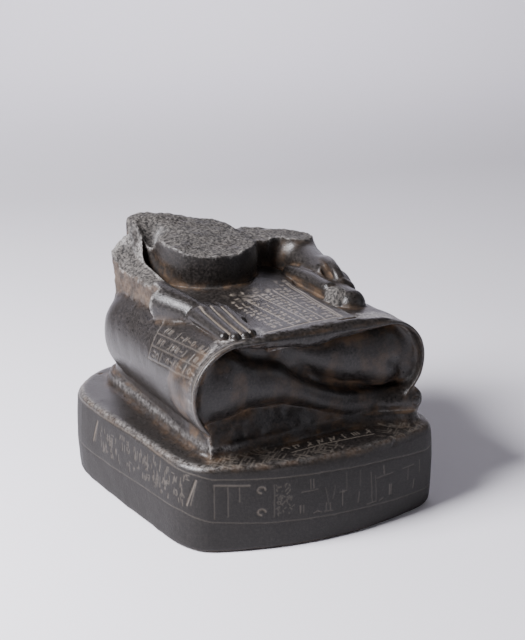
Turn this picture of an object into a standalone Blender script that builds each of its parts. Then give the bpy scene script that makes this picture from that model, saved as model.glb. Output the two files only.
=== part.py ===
"""Seated scribe, a broken stone figure on its own plinth, carved from one block.

Run with: blender --background --python part.py

Frame: metres, +Z up, origin at the middle of the plinth's underside. The figure faces -Y, so its
right hand is on the -X side. Upper body, head, right elbow and left thumb tip are broken away.

Plinth sizes are real lengths. The figure is a free form, so its places and thicknesses are shares
of its own height: one share is a 172nd of the height from the plinth's top to the highest point of
the break, with x across from the figure's axis, y back from it and z up from the plinth's top.
"""
import math

import bmesh
import bpy
from mathutils import Matrix, Vector

# Plinth, metres
PLINTH_WIDTH = 0.284
PLINTH_DEPTH = 0.318
PLINTH_HEIGHT = 0.086
PLINTH_EDGE_ROUND = 0.006
PLINTH_FRONT_BOW = 0.028
PLINTH_BACK_BOW = 0.030
PLINTH_SIDE_BOW = 0.003
PLINTH_INSET = 0.024
PLINTH_TURN = 0.021
RIGHT_CORNER_ROUND = 0.027
LEFT_CORNER_ROUND = 0.026
BACK_CORNER_ROUND = 0.062

# Figure, metres
FIGURE_HEIGHT = 0.172
FIGURE_FORWARD = 0.0185
FIGURE_ACROSS = 0.0035
FIGURE_SINK = 0.010

# Figure, shares of its height
SHARES = 172
HEM_THICKNESS = 20
RIM_THICKNESS = 4.5
RECESS_DEPTH = 30
KNEE_DEPTH = 9
FINGER_RADIUS = 4.6
TOE_RADIUS = 12
MAT_HEIGHT = 11
FEET_HEIGHT = 40
FEET_ROUND = 33
FEET_TAPER = 2

RAW_TOP = 200
CUT_ABOVE = 40
CUT_REACH = 160
CUT_FRONT = -20

# Pose, shares: places are x, y, z, and a fourth number is a radius
RIGHT_KNEE = (-66, -108, 65)
LEFT_KNEE = (91, -107, 63)
RIGHT_KNEE_RADIUS = 47.5
LEFT_KNEE_RADIUS = 42.5
RIGHT_HIP = (-58, 88, 61, 52.5)
LEFT_HIP = (70, 84, 56, 54)
SHIN_SQUASH = (1, 0.8, 1)
RIGHT_SHIN = ((-66, -74, 66, 32), (-43, -75, 60, 25), (-15, -77, 55, 21), (0, -78, 47, 17.5),
              (16, -79, 38, 15.5), (36, -81, 28.5, 15), (60, -84, 20, 15), (94, -91, 18, 14),
              (121, -101, 20.5, TOE_RADIUS))
LEFT_SHIN = ((94, -70, 66, 34), (50, -71, 71, 29), (30, -71, 74, 22), (8, -70, 81, 13), (-8, -68, 87, 7))
SOLE = ((118, -98, 18, TOE_RADIUS), (108, -68, 18, TOE_RADIUS))
HEM_LINE = ((-84, -101, 97), (-56, -100, 103), (-20, -99, 105), (40, -99, 102), (92, -101, 98))
HEM_FULLNESS = (0.5, 0.8, 1, 0.9, 0.5)
APRON = ((-96, -93, 0), (-96, -93, 11), (-96, -78, 45), (-96, -50, 45), (-96, -50, 0),
         (20, -93, 0), (20, -93, 11), (20, -80, 36), (20, -50, 36), (20, -50, 0),
         (62, -90, 0), (62, -90, 11), (62, -50, 11), (62, -50, 0))
RECESS_MIDDLE = (-28, 53)
RECESS_SHRINK = 13
UNDER_ENDS = (-96, 115)
UNDER_FOOT = 0.5
MAT = ((-85, -80, 8), (112, -94, 12), (84, 112, 35), (-60, 112, 37))
MAT_SLOPE = 4
FEET = ((-62, -46), (86, -50), (82, 110), (-60, 110))
TORSO = (-9, 78)
WAIST_HALF_WIDTH = 51
WAIST_HALF_DEPTH = 54
BELT = ((90, 25, 27, 4), (111.5, 25, 27, 4), (118, 0, 1, 0))
WEBS = ((-62, 121, 17), (61, 98, 25))
WEB_FOOT = 60
RIGHT_UPPER_ARM = ((-84, 100, RAW_TOP, 17), (-81, 97, 106, 17))
RIGHT_FOREARM = ((-84, 82, 120, 20), (-84, 26, 117, 17.5), (-74, -8, 115, 15), (-66, -28, 113, 11))
LEFT_UPPER_ARM = ((96, 88, RAW_TOP, 19.5), (98, 80, 116, 20.5))
LEFT_FOREARM = ((99, 74, 114, 22.5), (95, 40, 115, 18.5), (90, 14, 116, 14.5))
PALM = (-61, -24, 112)
PALM_HEIGHT = 10.5
PALM_SQUASH = (1.9, 2.5, 1)
KNUCKLES = (-73, -61.5, -51, -43)
KNUCKLE_LINE = (-32, 116)
FINGERTIPS = ((-73, -88, 113.5), (-64.5, -94, 113.5), (-55.5, -95.5, 113.5), (-47.5, -92, 113.5))
RIGHT_THUMB = ((-44, -18, 114), (-38, -54, 113))
LEFT_FIST = ((90, 2, 116, 14), (93, -12, 114.5, 13.5), (93, -24, 111, 11))
LEFT_THUMB = ((72, 44, 113, 8.5), (74, 14, 115, 8.5), (74, -24, 115, 8))
THUMB_BREAK = ((74, -38, 111, 12), (77, -44, 108, 12))
ROLL = ((80, 30, 111, 12.5), (84, -49, 106, 15))
SHEET = ((-34, -98), (64, -92), (60, 34), (-34, 34))
SHEET_HEIGHTS = (100, 111.5)
ELBOW_FACE = ((-87, 26, 101.5), (-89, 90, 101.5), (-90, 60, 139))
ELBOW_CUT_SIZE = (60, 130, 120)

# Break, shares: heights above the plinth's top, and places across and back
BREAK_FRONT_HEIGHT = 151
BREAK_START = 35
BREAK_RUN = 85
BREAK_LIMITS = (-0.2, 0.95)
BREAK_RISE_RIGHT = 23
BREAK_RISE_LEFT = 6
BREAK_TURN = (-45, 90)
BREAK_STEP = (28, 22, 143)
LEFT_ARM_FALL = (80, 0.15)
STUMP_EDGE = (-74, 8)
STUMP_HEIGHT = 127
STUMP_OUTER = -89
STUMP_TILT = (0.2, 0.013, 50)
STUMP_BACK = (108, 8, 20)
STUMP_FRONT = (35, 12, 9)

# Carving grain, metres and counts
VOXEL = 0.0022
SMOOTH_STEPS = 2
BODY_TRIANGLES = 8500
ROUND_STEPS = 20

SHARE = FIGURE_HEIGHT / SHARES


def place(x, y, z):
    """A point given in shares from the figure's own origin, in metres."""
    return Vector((x * SHARE - FIGURE_ACROSS, y * SHARE - FIGURE_FORWARD, PLINTH_HEIGHT + z * SHARE))


def clear_scene():
    for thing in list(bpy.data.objects):
        bpy.data.objects.remove(thing, do_unlink=True)


def collection(name):
    group = bpy.data.collections.new(name)
    bpy.context.scene.collection.children.link(group)
    return group


def add_object(name, bm, group):
    """Turn a bmesh into an object of the named collection."""
    bmesh.ops.recalc_face_normals(bm, faces=bm.faces)
    mesh = bpy.data.meshes.new(name)
    bm.to_mesh(mesh)
    bm.free()
    thing = bpy.data.objects.new(name, mesh)
    group.objects.link(thing)
    return thing


def hide_cutter(thing):
    thing.hide_render = True
    thing.display_type = "WIRE"
    return thing


def modify(thing, name, kind, **settings):
    modifier = thing.modifiers.new(name, kind)
    for key, value in settings.items():
        setattr(modifier, key, value)
    return modifier


def wrap(bm, points):
    """Add the convex hull of some points to a bmesh as one closed shell."""
    shell = bmesh.new()
    for point in points:
        shell.verts.new(point)
    hull = bmesh.ops.convex_hull(shell, input=shell.verts)
    loose = [g for g in hull["geom_interior"] + hull["geom_unused"] if isinstance(g, bmesh.types.BMVert)]
    bmesh.ops.delete(shell, geom=list(set(loose)), context="VERTS")
    bmesh.ops.recalc_face_normals(shell, faces=shell.faces)
    mesh = bpy.data.meshes.new("shell")
    shell.to_mesh(mesh)
    shell.free()
    bm.from_mesh(mesh)
    bpy.data.meshes.remove(mesh)


def ball_points(centre, radius, squash=(1, 1, 1)):
    """Points of a ball, or of an ellipsoid where squash scales its axes."""
    ball = bmesh.new()
    bmesh.ops.create_uvsphere(ball, u_segments=ROUND_STEPS, v_segments=ROUND_STEPS // 2,
                              radius=radius * SHARE)
    middle = place(*centre)
    stretch = Matrix.Diagonal(squash)
    points = [middle + stretch @ v.co for v in ball.verts]
    ball.free()
    return points


def disc_points(centre, radius):
    """Points of an upright disc that faces the front."""
    turn = 2 * math.pi / (2 * ROUND_STEPS)
    x, y, z = centre
    return [place(x + radius * math.cos(i * turn), y, z + radius * math.sin(i * turn))
            for i in range(2 * ROUND_STEPS)]


def ellipse_points(centre, half_width, half_depth):
    """Points of a level ellipse."""
    turn = 2 * math.pi / (2 * ROUND_STEPS)
    x, y, z = centre
    return [place(x + half_width * math.cos(i * turn), y + half_depth * math.sin(i * turn), z)
            for i in range(2 * ROUND_STEPS)]


def limb(bm, *stations, squash=(1, 1, 1)):
    """A limb: each pair of neighbouring balls wrapped in one shell. A station is x, y, z, radius."""
    for near, far in zip(stations, stations[1:]):
        wrap(bm, ball_points(near[:3], near[3], squash) + ball_points(far[:3], far[3], squash))


def kilt(bm):
    """Thighs and lap under the stretched kilt: flat rim at the knees, round hips behind."""
    wrap(bm, disc_points(RIGHT_KNEE, RIGHT_KNEE_RADIUS) + disc_points(LEFT_KNEE, LEFT_KNEE_RADIUS)
         + ball_points(RIGHT_HIP[:3], RIGHT_HIP[3]) + ball_points(LEFT_HIP[:3], LEFT_HIP[3]))


def apron(bm):
    """Rough slope left standing below the shins, from their underside out to the mat's front edge."""
    wrap(bm, [place(*corner) for corner in APRON])


def seat(bm):
    """Folded feet and seat below the kilt, on a raised mat that follows them round."""
    sink = -FIGURE_SINK / SHARE
    points = []
    for x, y, rounding in MAT:
        points += ellipse_points((x, y, sink), rounding + MAT_SLOPE, rounding + MAT_SLOPE)
        points += ellipse_points((x, y, MAT_HEIGHT), rounding, rounding)
    wrap(bm, points)
    points = []
    for x, y in FEET:
        points += ellipse_points((x, y, sink), FEET_ROUND, FEET_ROUND)
        points += ellipse_points((x, y, FEET_HEIGHT), FEET_ROUND - FEET_TAPER, FEET_ROUND - FEET_TAPER)
    wrap(bm, points)


def recess_cutter(group):
    """The kilt's opening at the knees: shallow in front of each knee, deep between them."""
    bm = bmesh.new()
    knees = ((Vector(RIGHT_KNEE), RIGHT_KNEE_RADIUS, RECESS_MIDDLE[0]),
             (Vector(LEFT_KNEE), LEFT_KNEE_RADIUS, RECESS_MIDDLE[1]))
    points = []
    for knee, radius, inner in knees:
        for depth in (CUT_FRONT, KNEE_DEPTH):
            points += disc_points(knee + Vector((0, depth, 0)), radius - RIM_THICKNESS)
        points += disc_points((inner, knee.y + RECESS_DEPTH, knee.z), radius - RECESS_SHRINK)
    wrap(bm, points)
    return hide_cutter(add_object("recess_cutter", bm, group))


def under_cutter(group):
    """Opens the kilt's lower edge between the knees, above the shin that lies on the plinth."""
    bm = bmesh.new()
    points = []
    for z in (UNDER_FOOT, RIGHT_KNEE[2]):
        for x, inner in zip(UNDER_ENDS, RECESS_MIDDLE):
            points += [place(x, RIGHT_KNEE[1] + depth, z) for depth in (CUT_FRONT, KNEE_DEPTH)]
            points.append(place(inner, RIGHT_KNEE[1] + RECESS_DEPTH, z))
    wrap(bm, points)
    return hide_cutter(add_object("under_cutter", bm, group))


def hem(bm):
    """The kilt's rolled front hem, thick in the middle and thin at the knees."""
    limb(bm, *[(*spot, share * HEM_THICKNESS / 2) for spot, share in zip(HEM_LINE, HEM_FULLNESS)])


def shins(bm):
    """Crossed shins in the kilt's opening; the right one ends in the foot below the left knee."""
    limb(bm, *RIGHT_SHIN, squash=SHIN_SQUASH)
    limb(bm, *LEFT_SHIN, squash=SHIN_SQUASH)
    limb(bm, *SOLE)


def torso(bm):
    """Waist, the kilt's slope round it, and the stone left standing between the waist and both arms."""
    x, y = TORSO
    wrap(bm, ellipse_points((x, y, FEET_HEIGHT), WAIST_HALF_WIDTH, WAIST_HALF_DEPTH)
         + ellipse_points((x, y, RAW_TOP), WAIST_HALF_WIDTH, WAIST_HALF_DEPTH))
    belt = []
    for height, forward, wider, deeper in BELT:
        belt += ellipse_points((x, y - forward, height), WAIST_HALF_WIDTH + wider,
                               WAIST_HALF_DEPTH + deeper)
    wrap(bm, belt)
    for side, depth, radius in WEBS:
        wrap(bm, ellipse_points((side, depth, WEB_FOOT), radius, radius)
             + ellipse_points((side, depth, RAW_TOP), radius, radius))


def arms(bm):
    """Both bent arms; what stands above the break is cut away afterwards."""
    for arm in (RIGHT_UPPER_ARM, RIGHT_FOREARM, LEFT_UPPER_ARM, LEFT_FOREARM):
        limb(bm, *arm)


def right_hand(bm):
    """Flat right hand on the lap: palm, four fingers side by side and the thumb."""
    wrap(bm, ball_points(PALM, PALM_HEIGHT, PALM_SQUASH))
    for knuckle, tip in zip(KNUCKLES, FINGERTIPS):
        limb(bm, (knuckle, *KNUCKLE_LINE, FINGER_RADIUS), (*tip, 0.9 * FINGER_RADIUS))
    root, tip = RIGHT_THUMB
    limb(bm, (*root, 1.3 * FINGER_RADIUS), (*tip, 0.9 * FINGER_RADIUS))


def left_hand(bm):
    """Left fist closed round a roll of papyrus, the thumb laid along it and broken at its end."""
    limb(bm, *LEFT_FIST)
    limb(bm, *LEFT_THUMB)
    limb(bm, *THUMB_BREAK)


def roll(bm):
    """The roll of papyrus, round and a little thicker towards its front end."""
    limb(bm, *ROLL)


def papyrus(bm):
    """The opened sheet that hangs from the roll over the lap."""
    wrap(bm, [place(x, y, z) for x, y in SHEET for z in SHEET_HEIGHTS])


def break_height(x, y):
    """Height of the broken top in shares: high at the back right, stepped down over both arms."""
    back = min(max((y - BREAK_START) / BREAK_RUN, BREAK_LIMITS[0]), BREAK_LIMITS[1])
    turn = smooth_step((x - BREAK_TURN[0]) / BREAK_TURN[1])
    main = BREAK_FRONT_HEIGHT + back * (BREAK_RISE_RIGHT * (1 - turn) + BREAK_RISE_LEFT * turn)
    step_place, step_run, step_height = BREAK_STEP
    step = smooth_step((x - step_place) / step_run)
    main = main * (1 - step) + step_height * step - LEFT_ARM_FALL[1] * max(x - LEFT_ARM_FALL[0], 0)
    edge, run = STUMP_EDGE
    arm = smooth_step((edge - x) / run)
    return main * (1 - arm) + stump_height(x, y) * arm


def stump_height(x, y):
    """Height of the broken right elbow: it leans outwards, whole in front and standing up behind."""
    lean, more, start = STUMP_TILT
    low = STUMP_HEIGHT + max(x - STUMP_OUTER, 0) * (lean + more * max(y - start, 0))
    back_place, back_run, back_rise = STUMP_BACK
    front_place, front_run, front_rise = STUMP_FRONT
    return (low + back_rise * smooth_step((y - back_place) / back_run)
            + front_rise * smooth_step((front_place - y) / front_run))


def smooth_step(t):
    t = min(max(t, 0), 1)
    return t * t * (3 - 2 * t)


def break_cutter(group):
    """Everything above the break: a grid whose rows follow the break's height, thickened upwards."""
    bm = bmesh.new()
    bmesh.ops.create_grid(bm, x_segments=2 * ROUND_STEPS, y_segments=2 * ROUND_STEPS, size=CUT_REACH)
    for vert in bm.verts:
        x, y = vert.co.x, vert.co.y
        vert.co = place(x, y, break_height(x, y))
    lifted = bmesh.ops.extrude_face_region(bm, geom=bm.faces[:])
    for item in lifted["geom"]:
        if isinstance(item, bmesh.types.BMVert):
            item.co.z = place(0, 0, RAW_TOP + CUT_ABOVE).z
    return hide_cutter(add_object("break_cutter", bm, group))


def elbow_cutter(group):
    """The sheared outer face of the right elbow and the stump behind the forearm."""
    bm = bmesh.new()
    near, far, above = (Vector(corner) for corner in ELBOW_FACE)
    along = (far - near).normalized()
    out = along.cross(above - near).normalized()
    rise = out.cross(along)
    outward, length, height = ELBOW_CUT_SIZE
    corners = [near + along * a + rise * b - out * c
               for a in (0, length) for b in (0, height) for c in (0, outward)]
    wrap(bm, [place(*corner) for corner in corners])
    return hide_cutter(add_object("elbow_cutter", bm, group))


def evaluated(thing):
    """The object's mesh with its modifiers applied."""
    view = bpy.context.evaluated_depsgraph_get()
    return bpy.data.meshes.new_from_object(thing.evaluated_get(view))


def carve(thing, cutter, name, operation="DIFFERENCE"):
    return modify(thing, name, "BOOLEAN", object=cutter, operation=operation, solver="EXACT")


def plinth_corners():
    """Corners of the plan before rounding: the figure's right front corner is set in and turned back."""
    half_width, half_depth = PLINTH_WIDTH / 2, PLINTH_DEPTH / 2
    front = -half_depth + PLINTH_FRONT_BOW
    back = half_depth - PLINTH_BACK_BOW
    return (Vector((PLINTH_INSET - half_width, front + PLINTH_TURN / 2)),
            Vector((half_width, front - PLINTH_TURN / 2)),
            Vector((half_width, back)), Vector((-half_width, back)))


def bowed(start, end, bow, steps=24):
    """Points of a shallow arch from start to end; bow is its rise towards the outside."""
    out = Vector((end.y - start.y, start.x - end.x)).normalized()
    ways = [i / steps for i in range(steps + 1)]
    return [start.lerp(end, t) + out * bow * (1 - (2 * t - 1) ** 2) for t in ways]


def rounded(side, following, radius, steps=8):
    """An arc that carries one side over into the next, starting radius before their corner."""
    corner = side[-1]
    start = min(side, key=lambda p: abs((p - corner).length - radius))
    end = min(following, key=lambda p: abs((p - corner).length - radius))
    ways = [i / steps for i in range(steps + 1)]
    return [start.lerp(corner, t).lerp(corner.lerp(end, t), t) for t in ways]


def plinth_outline():
    """Plan of the plinth: four bowed sides with their corners rounded."""
    corners = plinth_corners()
    bows = (PLINTH_FRONT_BOW, PLINTH_SIDE_BOW, PLINTH_BACK_BOW, PLINTH_SIDE_BOW)
    rounds = (LEFT_CORNER_ROUND, BACK_CORNER_ROUND, BACK_CORNER_ROUND, RIGHT_CORNER_ROUND)
    sides = [bowed(corners[i], corners[(i + 1) % 4], bows[i]) for i in range(4)]
    points = []
    for i, side in enumerate(sides):
        gaps = 1.1 * rounds[i - 1], 1.1 * rounds[i]
        points += [p for p in side if (p - side[0]).length > gaps[0] and (p - side[-1]).length > gaps[1]]
        points += rounded(side, sides[(i + 1) % 4], rounds[i])
    return fitted(points)


def fitted(points):
    """The outline brought to the plinth's exact width and depth about the middle of its box."""
    low = Vector((min(p.x for p in points), min(p.y for p in points)))
    high = Vector((max(p.x for p in points), max(p.y for p in points)))
    middle, size = (low + high) / 2, high - low
    return [Vector(((p.x - middle.x) * PLINTH_WIDTH / size.x, (p.y - middle.y) * PLINTH_DEPTH / size.y))
            for p in points]


def plinth(group):
    """Plinth: a flat outline curve extruded to its height, with its long edges rounded."""
    curve = bpy.data.curves.new("plinth", "CURVE")
    curve.dimensions = "2D"
    curve.fill_mode = "BOTH"
    curve.extrude = PLINTH_HEIGHT / 2
    points = plinth_outline()
    spline = curve.splines.new("POLY")
    spline.points.add(len(points) - 1)
    for node, point in zip(spline.points, points):
        node.co = (point.x, point.y, 0, 1)
    spline.use_cyclic_u = True
    guide = bpy.data.objects.new("plinth_curve", curve)
    guide.location.z = PLINTH_HEIGHT / 2
    group.objects.link(guide)
    bpy.context.view_layer.update()
    bm = bmesh.new()
    bm.from_mesh(evaluated(guide))
    bm.transform(guide.matrix_world)
    bpy.data.objects.remove(guide, do_unlink=True)
    bmesh.ops.remove_doubles(bm, verts=bm.verts, dist=0.00005)
    bmesh.ops.dissolve_limit(bm, angle_limit=math.radians(0.5), verts=bm.verts, edges=bm.edges)
    block = add_object("plinth_block", bm, group)
    modify(block, "worn edges", "BEVEL", width=PLINTH_EDGE_ROUND, segments=3, limit_method="ANGLE",
           angle_limit=math.radians(60))
    return hide_cutter(block)


def stone():
    """Dark polished granodiorite."""
    material = bpy.data.materials.new("granodiorite")
    material.use_nodes = True
    shader = material.node_tree.nodes["Principled BSDF"]
    shader.inputs["Base Color"].default_value = (0.030, 0.030, 0.032, 1)
    shader.inputs["Roughness"].default_value = 0.42
    shader.inputs["Metallic"].default_value = 0.0
    return material


def main():
    clear_scene()
    statue_group = collection("scribe_statue")
    cutters = collection("cutters")

    bm = bmesh.new()
    kilt(bm)
    shell = hide_cutter(add_object("kilt_form", bm, cutters))
    carve(shell, recess_cutter(cutters), "opening")
    carve(shell, under_cutter(cutters), "lower opening")

    bm = bmesh.new()
    bm.from_mesh(evaluated(shell))
    for form in (seat, apron, hem, shins, torso, arms, right_hand, left_hand, roll, papyrus):
        form(bm)
    body = add_object("scribe_statue", bm, statue_group)
    modify(body, "fuse", "REMESH", mode="VOXEL", voxel_size=VOXEL)
    carve(body, elbow_cutter(cutters), "sheared elbow")
    carve(body, break_cutter(cutters), "break")
    modify(body, "refuse", "REMESH", mode="VOXEL", voxel_size=VOXEL)
    modify(body, "soften", "SMOOTH", factor=0.5, iterations=SMOOTH_STEPS)
    fine = len(evaluated(body).polygons) * 2
    modify(body, "thin out", "DECIMATE", ratio=min(1, BODY_TRIANGLES / fine))
    carve(body, plinth(cutters), "join plinth", "UNION")
    body.data.materials.append(stone())


main()
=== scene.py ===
"""Looks of the seated scribe: the carved stone as one sculpted piece, its finish and the stage.

The statue is one block of granodiorite, so its visible surface is one piece. A fused, undercut and
broken carving is no grid of two parameters, so it is worked out as a field: the signed distance in
millimetres from any point to the stone, built from blended solids and cut by strokes and breaks.
Whole arrays of field values give the surface. The same field read along the normals says where dust
lies and where edges are worn; breaks, scuffs and signs are known by their place.
"""
import math

import bpy
import numpy as np
from mathutils import Matrix, Vector


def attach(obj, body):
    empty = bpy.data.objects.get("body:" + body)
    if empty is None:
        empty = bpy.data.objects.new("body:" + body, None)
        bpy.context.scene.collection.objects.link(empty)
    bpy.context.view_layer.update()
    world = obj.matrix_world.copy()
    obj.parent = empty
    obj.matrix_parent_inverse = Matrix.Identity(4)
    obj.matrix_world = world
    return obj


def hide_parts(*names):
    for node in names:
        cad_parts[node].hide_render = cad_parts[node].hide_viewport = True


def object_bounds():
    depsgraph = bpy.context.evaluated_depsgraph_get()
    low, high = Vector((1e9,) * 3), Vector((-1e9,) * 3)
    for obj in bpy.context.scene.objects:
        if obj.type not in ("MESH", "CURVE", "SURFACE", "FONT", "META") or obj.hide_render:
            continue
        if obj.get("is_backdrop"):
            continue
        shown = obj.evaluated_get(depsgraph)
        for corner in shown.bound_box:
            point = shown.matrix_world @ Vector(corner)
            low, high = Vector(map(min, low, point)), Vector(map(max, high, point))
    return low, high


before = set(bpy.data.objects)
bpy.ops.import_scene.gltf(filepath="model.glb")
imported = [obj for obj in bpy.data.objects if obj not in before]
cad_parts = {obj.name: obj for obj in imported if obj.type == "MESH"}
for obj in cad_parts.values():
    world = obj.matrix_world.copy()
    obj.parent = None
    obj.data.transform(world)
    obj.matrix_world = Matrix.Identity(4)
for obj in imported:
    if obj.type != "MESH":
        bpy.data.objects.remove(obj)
CAD_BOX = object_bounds()

bl_info = {
    "name": "Seated scribe statue",
    "version": (1, 0, 0),
    "blender": (4, 5, 0),
    "location": "View3D > Sidebar > Scribe",
    "description": "Sculpts a broken granodiorite scribe on its inscribed plinth and lights it",
    "category": "Object",
}

NODE = "scribe_statue"
PHOTO_WIDTH = 525
PHOTO_HEIGHT = 640

# Field: sizes in millimetres, in the figure's own frame
# x is across from the figure's axis, y back from it, z up from the plinth's top
PLINTH_WIDTH = 284.0
PLINTH_DEPTH = 318.0
PLINTH_HEIGHT = 86.0
PLINTH_TOP_ROUND = 9.0
PLINTH_FOOT_ROUND = 6.0
PLINTH_FRONT_BOW = 28.0
PLINTH_BACK_BOW = 30.0
PLINTH_SIDE_BOW = 3.0
PLINTH_INSET = 24.0
PLINTH_TURN = 21.0
RIGHT_CORNER_ROUND = 27.0
LEFT_CORNER_ROUND = 26.0
BACK_CORNER_ROUND = 62.0
FIGURE_ORIGIN = (-3.5, -18.5, PLINTH_HEIGHT)

# Stations of limbs are x, y, z and radius; plan corners x, y and radius; ellipsoids centre and radii
RIGHT_KNEE = (-66.0, -108.0, 65.0, 47.5)
LEFT_KNEE = (91.0, -107.0, 63.0, 42.5)
RIGHT_HIP = (-58.0, 88.0, 61.0, 52.5)
LEFT_HIP = (70.0, 84.0, 56.0, 54.0)
RIM_THICKNESS = 3.6
RECESS_DEPTH = 30.0
KNEE_DEPTH = 11.0
MAT_HEIGHT = 11.0
FEET_HEIGHT = 40.0
MAT_CORNERS = ((-85, -77, 7), (-62, -87, 7), (-20, -88, 7), (20, -84, 7), (62, -85, 7), (86, -93, 8),
               (115, -103, 11), (84, 112, 35), (-60, 112, 37))
FEET_CORNERS = ((-62, -46, 32), (86, -50, 32), (82, 110, 32), (-60, 110, 32))
RIGHT_SHIN = ((-66, -74, 66, 32), (-43, -75, 60, 25), (-15, -77, 55, 21), (0, -78, 47, 17.5),
              (16, -79, 38, 15.5), (36, -81, 28.5, 15), (60, -84, 20, 15), (94, -91, 18, 14),
              (121, -101, 20.5, 12))
SHIN_SQUASH = (1.0, 1.25, 1.0)
RIGHT_KNEECAP = ((-82, -70, 66), (33, 30, 35))
LEFT_KNEECAP = ((103, -70, 63), (33, 30, 34))
LEFT_KNEE_FOLD = ((102, 61), (125, 43))
APRON_FRONT = ((-96, 37), (-85, 43), (-62, 47), (-33, 46), (0, 42), (30, 26), (60, 12))
LEFT_SHIN = ((94, -70, 66, 34), (50, -71, 71, 29), (30, -71, 74, 22), (8, -70, 81, 13), (-8, -68, 87, 7))
HEM_LINE = ((-72, -103, 110, 2), (-50, -101, 108, 5), (-24, -100, 107, 7.5), (6, -99, 104, 9.5),
            (40, -99, 105, 8), (82, -101, 104.5, 5), (99, -102, 103, 2))
WAIST = (-9.0, 75.0, 51.0, 51.0)
ARM_WEBS = ((-55.0, 116.0, 19.0), (61.0, 98.0, 25.0))
FOLD_HEIGHT = 118.0
RIGHT_FOREARM = ((-84, 82, 120, 20), (-84, 26, 117, 17.5), (-74, -8, 115, 15), (-66, -28, 113, 11))
LEFT_FOREARM = ((99, 74, 114, 22.5), (95, 40, 115, 18.5), (90, 14, 116, 14.5))
RIGHT_UPPER_ARM = ((-101, 83, 80), (-67, 117, 200), (-84, 100), 17)
LEFT_UPPER_ARM = ((75, 60, 100), (120, 110, 200), (97, 85), 20)
SHIN_FRONT = -98.0
TOE = ((98, -94, 19, 10), (121, -101, 20.5, 12))
SOLE = ((108, -68, 18, 12), (118, -98, 18, 12))
TOENAIL = (121.5, 21.0, 5.0)
FINGER_ARCH = ((98, 36, 121, 8), (98, 24, 126, 7.5), (96, 12, 129, 6.5), (93, -1, 130, 5.5),
               (91, -13, 127, 5.5), (90, -24, 119, 6))
HOLLOW = ((87.0, -9.0, 128.0), (8.0, 15.0, 8.5))
CHIPPED = ((73.5, -41, 110.0), (10.5, 14, 12.5))
STUMP_FRONT = 14.0
PALM = ((-61, -22, 112), (20, 27, 11))
RIGHT_THUMB = ((-43, -16, 114, 6), (-37.5, -55, 112.5, 4.8))
KNUCKLE_Y, KNUCKLE_Z = -32, 116.2
TIP_Z, TIP_RADIUS = 113.6, 4.6
KNUCKLES = ((-73, 6.6), (-61.5, 6.4), (-51, 6.0), (-42.5, 5.4))
FINGERTIPS = ((-73, -88), (-64.5, -94), (-55.5, -95.5), (-47.5, -92))
FINGER_GAPS = (((-67.5, -30), (-69, -90)), ((-56.5, -28), (-60, -94)), ((-46.5, -27), (-51.5, -94)))
GAP_DEPTH = 1.3
GAP_REACH = 1.5
LEFT_FIST = ((90, 2, 116, 14), (93, -12, 114.5, 13.5), (93, -24, 111, 11))
LEFT_THUMB = ((72, 44, 113, 8.5), (74, 14, 115.5, 8.5), (74, -26, 116, 8))
ROLL = ((80, 30, 111, 12.5), (84, -49, 106, 15))
SHEET_CORNERS = ((-34, -98), (64, -92), (60, 34), (-34, 34))
SHEET_TOP = 112.0
SHEET_FOOT = 95.0
SHEET_MIDDLE = 15.0
SHEET_DROOP = 0.0006
BREAK_FRONT = 151.0
BREAK_RISE_RIGHT = 21.0
BREAK_RISE_LEFT = 5.0
LEFT_ARM_BREAK = 143.0
RIGHT_ARM_BREAK = 127.0
ARMPIT_DIP = 20.0
FAR = 40.0


def blend_min(a, b, k):
    """Union of two fields; where they differ by less than k the join is filleted."""
    h = np.maximum(k - np.abs(a - b), 0.0)
    return np.minimum(a, b) - h * h * (0.25 / k)


def blend_max(a, b, k):
    """Intersection of two fields with the edge rounded over k."""
    return -blend_min(-a, -b, k)


def unit(t):
    """Number held between 0 and 1."""
    return np.clip(t, 0.0, 1.0)


def ramp(t):
    """Smooth step from 0 to 1."""
    t = unit(t)
    return t * t * (3.0 - 2.0 * t)


LATTICE_SIDE = 64
WRAP = LATTICE_SIDE - 1
LATTICE = np.random.default_rng(7).uniform(-1.0, 1.0, (LATTICE_SIDE,) * 3).astype(np.float32)


def noise(p, size, seed=0):
    """Value noise from -1 to 1: lattice values a size apart, joined by smooth steps."""
    q = p / size + 7.3 * seed
    low = np.floor(q)
    f = (q - low).astype(np.float32)
    f = f * f * (3.0 - 2.0 * f)
    ends = []
    for axis, cell in enumerate((low.astype(np.int32) & WRAP).T):
        ends.append(((cell, 1.0 - f[:, axis]), ((cell + 1) & WRAP, f[:, axis])))
    total = 0.0
    for a, wa in ends[0]:
        for b, wb in ends[1]:
            for c, wc in ends[2]:
                total = total + wa * wb * wc * LATTICE[a, b, c]
    return total


def within(p, low, high, shape, margin=14.0):
    """Evaluate a shape only for points near its box; the rest are far away."""
    near = np.all((p > np.asarray(low) - margin) & (p < np.asarray(high) + margin), axis=1)
    out = np.full(len(p), FAR, np.float32)
    if near.any():
        out[near] = shape(p[near])
    return out


def smooth_path(stations, steps=12):
    """Catmull-Rom curve through stations of x, y, z and radius."""
    s = np.asarray(stations, float)
    ends = np.vstack([2 * s[0] - s[1], s, 2 * s[-1] - s[-2]])
    t = (np.arange(steps) / steps)[:, None]
    out = [0.5 * (2 * b + (c - a) * t + (2 * a - 5 * b + 4 * c - d) * t**2 + (3 * b - a - 3 * c + d) * t**3)
           for a, b, c, d in zip(ends, ends[1:], ends[2:], ends[3:])]
    return np.vstack(out + [s[-1:]])


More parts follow.
